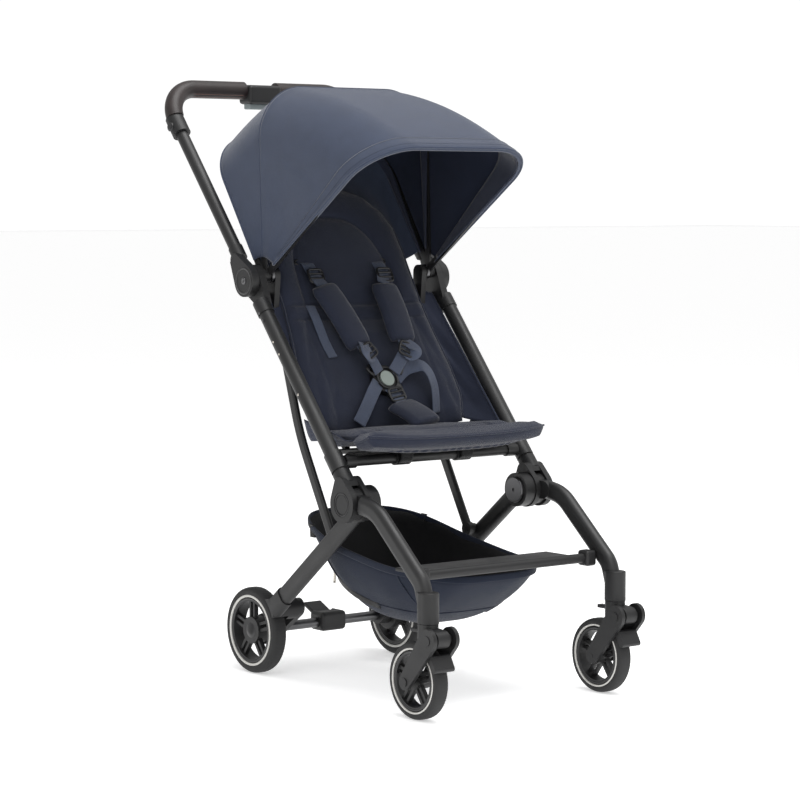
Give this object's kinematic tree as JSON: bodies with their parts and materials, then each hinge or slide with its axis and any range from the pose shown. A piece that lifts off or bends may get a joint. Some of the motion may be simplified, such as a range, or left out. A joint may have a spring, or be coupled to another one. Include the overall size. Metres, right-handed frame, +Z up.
{
  "type": "baby stroller",
  "caption": "Compact folding baby stroller with a hooded seat, five-point harness, basket, leather handlebar and swivelling front wheels.",
  "frame": {"origin": "on the floor below the middle of the whole stroller", "axes": "+Z up, -Y the way the child faces and the stroller rolls, +X the left side seen from behind"},
  "size_m": [0.4522, 0.809, 1.036],
  "materials": {
    "frame_black": "satin black coat",
    "moulded_black": "fine-grained black moulding",
    "steel_parts": "black-zinc steel",
    "alloy_tube": "plain alloy tube",
    "grip_leather": "dark brown stitched leather",
    "lever_grey": "satin grey moulding",
    "button_grey": "soft grey-green moulding",
    "tyre_black": "matt black foam tyre",
    "cloth_navy": "navy twill over padding",
    "canopy_navy": "navy plain weave",
    "basket_navy": "navy plain weave, black lining",
    "webbing_blue": "blue-grey satin webbing"
  },
  "bodies": {
    "frame": {"main_tubes": "frame_black", "main_hubs": "moulded_black", "hub_bolts": "steel_parts", "hub_caps": "moulded_black", "lower_elbows": "moulded_black", "seat_cross_tube": "frame_black", "seat_board": "moulded_black", "seat_cushion": "cloth_navy", "canopy_bow_rear": "moulded_black", "canopy_rear_panel": "canopy_navy", "basket": "basket_navy", "buckle": "moulded_black", "waist_straps": "webbing_blue"},
    "handle": {"upper_tubes": "frame_black", "upper_elbows": "moulded_black", "fold_pins": "steel_parts", "cranks": "moulded_black", "handlebar": "alloy_tube", "leather_grip": "grip_leather", "handle_collars": "moulded_black", "fold_housing": "moulded_black"},
    "release": {"fold_lever": "lever_grey"},
    "leg_rest": {"leg_rest": "cloth_navy"},
    "backrest": {"backrest_board": "moulded_black", "backrest_cushion": "cloth_navy", "shoulder_pads": "cloth_navy", "shoulder_straps": "webbing_blue"},
    "button": {"buckle_button": "button_grey"},
    "rear_legs": {"rear_leg_left": "frame_black", "rear_leg_right": "frame_black", "rear_sockets": "moulded_black"},
    "rear_axle": {"rear_axle": "steel_parts", "trailing_arms": "moulded_black", "brake_housing": "moulded_black"},
    "pedal": {"brake_pedal": "moulded_black"},
    "front_legs": {"front_leg_left": "frame_black", "front_leg_right": "frame_black", "knuckles": "moulded_black", "footrest_bar": "moulded_black", "footrest_plate": "moulded_black"},
    "canopy_mid": {"canopy_bow_mid": "moulded_black"},
    "canopy_front": {"canopy_bow_front": "moulded_black", "canopy_front_panel": "canopy_navy"},
    "rear_wheel_left": {"rear_tyre_left": "tyre_black", "rear_rim_left": "moulded_black"},
    "caster_left": {"caster_head_left": "moulded_black"},
    "fork_left": {"fork_left": "moulded_black"},
    "swivel_lock_left": {"swivel_lock_left": "moulded_black"},
    "front_wheel_left": {"front_tyre_left": "tyre_black", "front_rim_left": "moulded_black"},
    "strut_left": {"strut_left": "frame_black"},
    "rear_wheel_right": {"rear_tyre_right": "tyre_black", "rear_rim_right": "moulded_black"},
    "caster_right": {"caster_head_right": "moulded_black"},
    "fork_right": {"fork_right": "moulded_black"},
    "swivel_lock_right": {"swivel_lock_right": "moulded_black"},
    "front_wheel_right": {"front_tyre_right": "tyre_black", "front_rim_right": "moulded_black"},
    "strut_right": {"strut_right": "frame_black"}
  },
  "joints": [
    {"name": "handle_fold", "type": "hinge", "parent": "frame", "child": "handle", "pos_m": [0, 0.11761, 0.69512], "axis": [1, 0, 0], "range_deg": [0, 172], "deforming": ["basket"]},
    {"name": "rear_leg_fold", "type": "hinge", "parent": "frame", "child": "rear_legs", "pos_m": [0, -0.151, 0.328], "axis": [1, 0, 0], "range_deg": [-1, 71]},
    {"name": "front_leg_fold", "type": "hinge", "parent": "frame", "child": "front_legs", "pos_m": [0, -0.151, 0.328], "axis": [1, 0, 0], "range_deg": [-1, 147]},
    {"name": "leg_rest_fold", "type": "hinge", "parent": "frame", "child": "leg_rest", "pos_m": [0, -0.137, 0.412], "axis": [1, 0, 0], "range_deg": [-1, 63]},
    {"name": "strut_left_pivot", "type": "hinge", "parent": "rear_legs", "child": "strut_left", "pos_m": [0.146, -0.03576, 0.25027], "axis": [1, 0, 0], "range_deg": [-71.6, 1]},
    {"name": "strut_right_pivot", "type": "hinge", "parent": "rear_legs", "child": "strut_right", "pos_m": [-0.146, -0.03576, 0.25027], "axis": [1, 0, 0], "range_deg": [-71.6, 1]},
    {"name": "canopy_mid_fold", "type": "hinge", "parent": "frame", "child": "canopy_mid", "pos_m": [0, 0.11761, 0.69512], "axis": [1, 0, 0], "range_deg": [-22, 0], "deforming": ["canopy_rear_panel"]},
    {"name": "canopy_front_fold", "type": "hinge", "parent": "canopy_mid", "child": "canopy_front", "pos_m": [0, 0.11761, 0.69512], "axis": [1, 0, 0], "range_deg": [-46, 0.5], "deforming": ["canopy_front_panel"]},
    {"name": "backrest_recline", "type": "hinge", "parent": "frame", "child": "backrest", "pos_m": [0, 0.01, 0.424], "axis": [1, 0, 0], "range_deg": [-35, 0], "deforming": ["shoulder_straps"]},
    {"name": "fold_lever_squeeze", "type": "slide", "parent": "handle", "child": "release", "axis": [0, 0, 1], "range_m": [0, 0.006], "stiffness_N_per_m": 600},
    {"name": "buckle_button_press", "type": "slide", "parent": "frame", "child": "button", "axis": [0, 0.8746, -0.4848], "range_m": [0, 0.003], "stiffness_N_per_m": 1200},
    {"name": "rear_suspension", "type": "hinge", "parent": "rear_legs", "child": "rear_axle", "pos_m": [0, 0.118, 0.118], "axis": [1, 0, 0], "range_deg": [0, 7], "stiffness_Nm_per_rad": 400, "springref_deg": -2.86},
    {"name": "brake_pedal_press", "type": "hinge", "parent": "rear_axle", "child": "pedal", "pos_m": [0, 0.1896, 0.083], "axis": [1, 0, 0], "range_deg": [-16, 0], "stiffness_Nm_per_rad": 1.5},
    {"name": "rear_wheel_left_spin", "type": "hinge", "parent": "rear_axle", "child": "rear_wheel_left", "pos_m": [0.157, 0.1776, 0.075], "axis": [1, 0, 0], "continuous": true},
    {"name": "caster_left_swivel", "type": "hinge", "parent": "front_legs", "child": "caster_left", "pos_m": [0.199, -0.3572, 0.1573], "axis": [0, 0, 1], "continuous": true},
    {"name": "fork_left_suspension", "type": "hinge", "parent": "caster_left", "child": "fork_left", "pos_m": [0.199, -0.385, 0.135], "axis": [1, 0, 0], "range_deg": [0, 7], "stiffness_Nm_per_rad": 60, "springref_deg": -5.73},
    {"name": "swivel_lock_left_press", "type": "hinge", "parent": "caster_left", "child": "swivel_lock_left", "pos_m": [0.199, -0.3432, 0.1443], "axis": [1, 0, 0], "range_deg": [-10, 10]},
    {"name": "front_wheel_left_spin", "type": "hinge", "parent": "fork_left", "child": "front_wheel_left", "pos_m": [0.195, -0.328, 0.0625], "axis": [1, 0, 0], "continuous": true},
    {"name": "rear_wheel_right_spin", "type": "hinge", "parent": "rear_axle", "child": "rear_wheel_right", "pos_m": [-0.157, 0.1776, 0.075], "axis": [1, 0, 0], "continuous": true},
    {"name": "caster_right_swivel", "type": "hinge", "parent": "front_legs", "child": "caster_right", "pos_m": [-0.199, -0.3572, 0.1573], "axis": [0, 0, 1], "continuous": true},
    {"name": "fork_right_suspension", "type": "hinge", "parent": "caster_right", "child": "fork_right", "pos_m": [-0.199, -0.385, 0.135], "axis": [1, 0, 0], "range_deg": [0, 7], "stiffness_Nm_per_rad": 60, "springref_deg": -5.73},
    {"name": "swivel_lock_right_press", "type": "hinge", "parent": "caster_right", "child": "swivel_lock_right", "pos_m": [-0.199, -0.3432, 0.1443], "axis": [1, 0, 0], "range_deg": [-10, 10]},
    {"name": "front_wheel_right_spin", "type": "hinge", "parent": "fork_right", "child": "front_wheel_right", "pos_m": [-0.195, -0.328, 0.0625], "axis": [1, 0, 0], "continuous": true}
  ],
  "couplings": [
    {"joint": "rear_leg_fold", "follows": "handle_fold", "ratio": 0.40698},
    {"joint": "front_leg_fold", "follows": "handle_fold", "ratio": 0.84884},
    {"joint": "leg_rest_fold", "follows": "handle_fold", "ratio": 0.36046},
    {"joint": "strut_left_pivot", "follows": "handle_fold", "ratio": -0.41047},
    {"joint": "strut_right_pivot", "follows": "handle_fold", "ratio": -0.41047},
    {"joint": "canopy_front_fold", "follows": "canopy_mid_fold", "ratio": 2.08}
  ]
}
